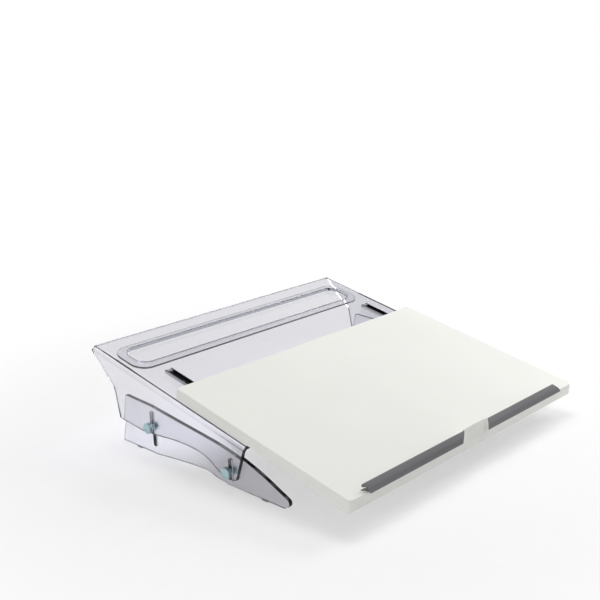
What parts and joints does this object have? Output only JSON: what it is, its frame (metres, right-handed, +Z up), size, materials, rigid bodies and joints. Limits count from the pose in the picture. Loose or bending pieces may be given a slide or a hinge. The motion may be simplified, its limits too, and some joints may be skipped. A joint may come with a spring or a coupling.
{
  "type": "document holder with pull-out tray",
  "caption": "Sloped clear document holder for a desk, with a pull-out writing tray on ball slides, a pen groove and height-adjustable legs.",
  "frame": {"origin": "on the desk, under the middle of the whole object with the tray pulled out", "axes": "+X to the user's right, +Y away from the user, +Z up"},
  "size_m": [0.5346, 0.503, 0.1378],
  "materials": {
    "clear_sheet": "polished clear acrylic",
    "tray_white": "smooth warm white",
    "grey_strip": "satin mid grey",
    "dark_steel": "black coated steel",
    "cage_steel": "plain steel strip",
    "ball_steel": "polished balls",
    "zinc": "pale zinc plate",
    "rubber": "matt"
  },
  "bodies": {
    "body": {"deck_shell": "clear_sheet", "groove_floor": "clear_sheet", "rail_left": "dark_steel", "rail_right": "dark_steel", "rail_screws": "zinc", "rail_stops": "rubber", "clamp_nuts": "zinc"},
    "tray": {"tray_panel": "tray_white", "ledge_left": "grey_strip", "ledge_right": "grey_strip", "runner_spacers": "tray_white", "runner_screws": "zinc", "runner_left": "dark_steel", "runner_right": "dark_steel"},
    "ball_cage_left": {"cage_left": "cage_steel", "balls_left": "ball_steel"},
    "ball_cage_right": {"cage_right": "cage_steel", "balls_right": "ball_steel"},
    "leg_left": {"leg_left": "clear_sheet", "foot_pads_left": "rubber"},
    "leg_right": {"leg_right": "clear_sheet", "foot_pads_right": "rubber"},
    "thumbscrew_front_left": {"thumbscrew_front_left": "zinc"},
    "thumbscrew_rear_left": {"thumbscrew_rear_left": "zinc"},
    "thumbscrew_front_right": {"thumbscrew_front_right": "zinc"},
    "thumbscrew_rear_right": {"thumbscrew_rear_right": "zinc"}
  },
  "joints": [
    {"name": "tray_slide", "type": "slide", "parent": "body", "child": "tray", "axis": [0, -0.978, -0.2088], "range_m": [-0.095, 0]},
    {"name": "ball_cage_left_slide", "type": "slide", "parent": "body", "child": "ball_cage_left", "axis": [0, -0.978, -0.2088], "range_m": [-0.0475, 0]},
    {"name": "ball_cage_right_slide", "type": "slide", "parent": "body", "child": "ball_cage_right", "axis": [0, -0.978, -0.2088], "range_m": [-0.0475, 0]},
    {"name": "leg_left_height", "type": "slide", "parent": "body", "child": "leg_left", "axis": [0, 0, 1], "range_m": [-0.014, 0.011]},
    {"name": "leg_right_height", "type": "slide", "parent": "body", "child": "leg_right", "axis": [0, 0, 1], "range_m": [-0.014, 0.011]},
    {"name": "thumbscrew_front_left_turn", "type": "hinge", "parent": "body", "child": "thumbscrew_front_left", "pos_m": [-0.2603, -0.044, 0.025], "axis": [-1, 0, 0], "range_deg": [0, 720]},
    {"name": "thumbscrew_rear_left_turn", "type": "hinge", "parent": "body", "child": "thumbscrew_rear_left", "pos_m": [-0.2603, 0.1195, 0.044], "axis": [-1, 0, 0], "range_deg": [0, 720]},
    {"name": "thumbscrew_front_right_turn", "type": "hinge", "parent": "body", "child": "thumbscrew_front_right", "pos_m": [0.2603, -0.044, 0.025], "axis": [1, 0, 0], "range_deg": [0, 720]},
    {"name": "thumbscrew_rear_right_turn", "type": "hinge", "parent": "body", "child": "thumbscrew_rear_right", "pos_m": [0.2603, 0.1195, 0.044], "axis": [1, 0, 0], "range_deg": [0, 720]}
  ],
  "couplings": [
    {"joint": "ball_cage_left_slide", "follows": "tray_slide", "ratio": 0.5},
    {"joint": "ball_cage_right_slide", "follows": "tray_slide", "ratio": 0.5}
  ]
}
